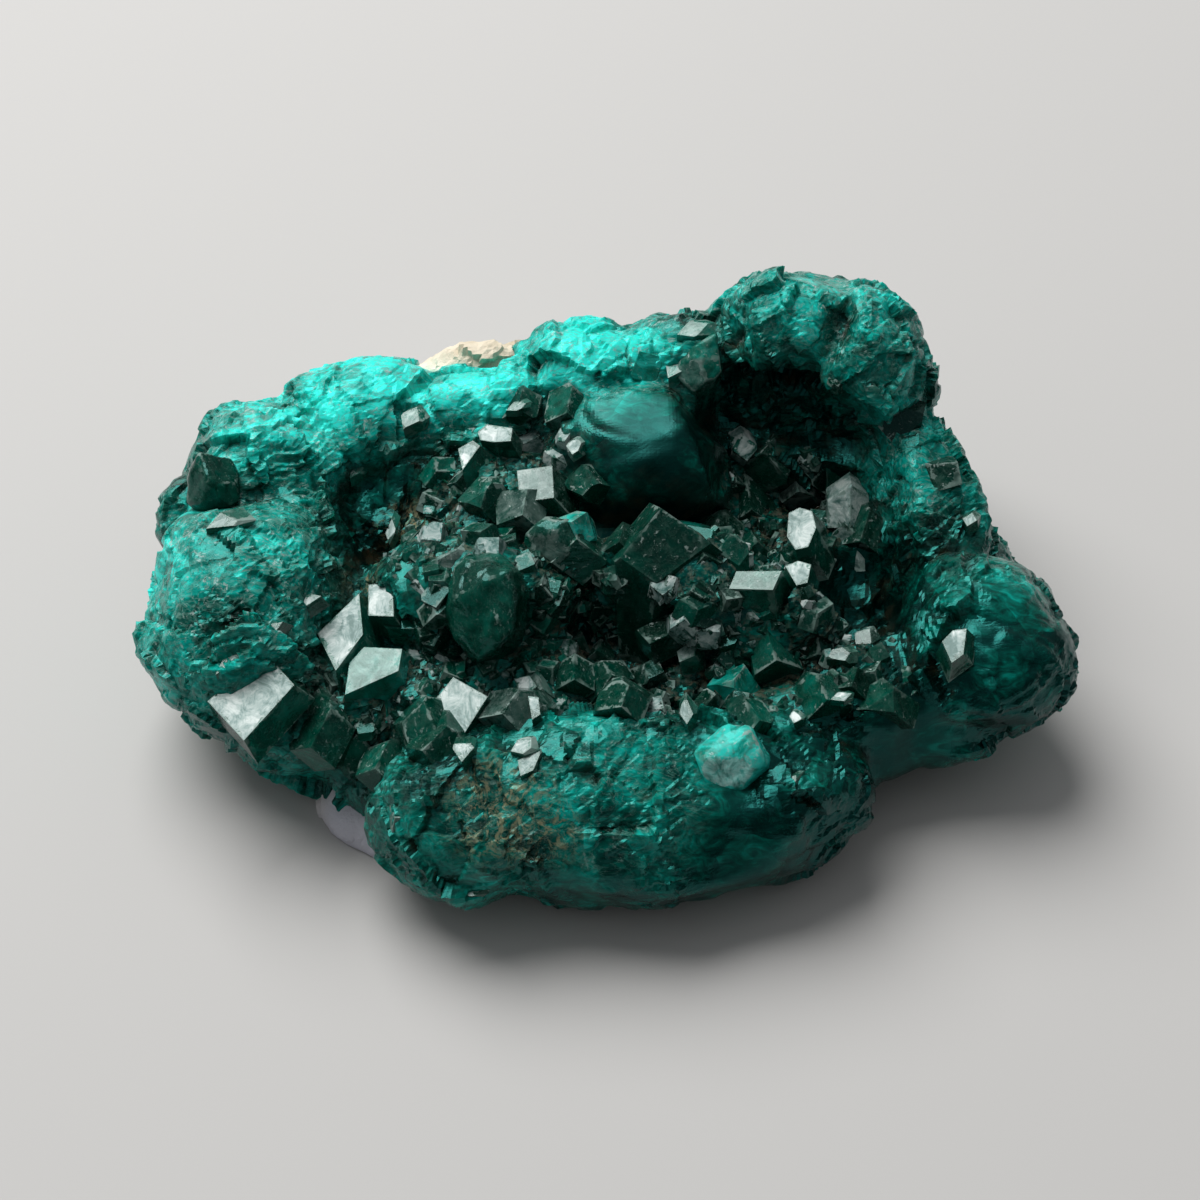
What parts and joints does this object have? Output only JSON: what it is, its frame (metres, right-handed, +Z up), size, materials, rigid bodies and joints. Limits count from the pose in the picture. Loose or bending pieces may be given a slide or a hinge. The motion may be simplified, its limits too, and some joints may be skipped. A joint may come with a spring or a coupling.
{
  "type": "dioptase mineral specimen",
  "caption": "Thick crust of intergrown dark green dioptase crystals with a rough teal rim, on a slab of pale host rock that is flat underneath.",
  "frame": {"origin": "middle of the specimen's bounding box in plan, on the flat base", "axes": "+X along the specimen's length, +Y from the front lobe towards the back rim, +Z up from the base"},
  "size_m": [0.0592, 0.0418, 0.0223],
  "materials": {
    "dioptase": "rough massive surface with glassy crystal faces",
    "host_rock": "matt"
  },
  "bodies": {
    "root": {"dioptase": "dioptase", "host_rock": "host_rock"}
  },
  "joints": []
}
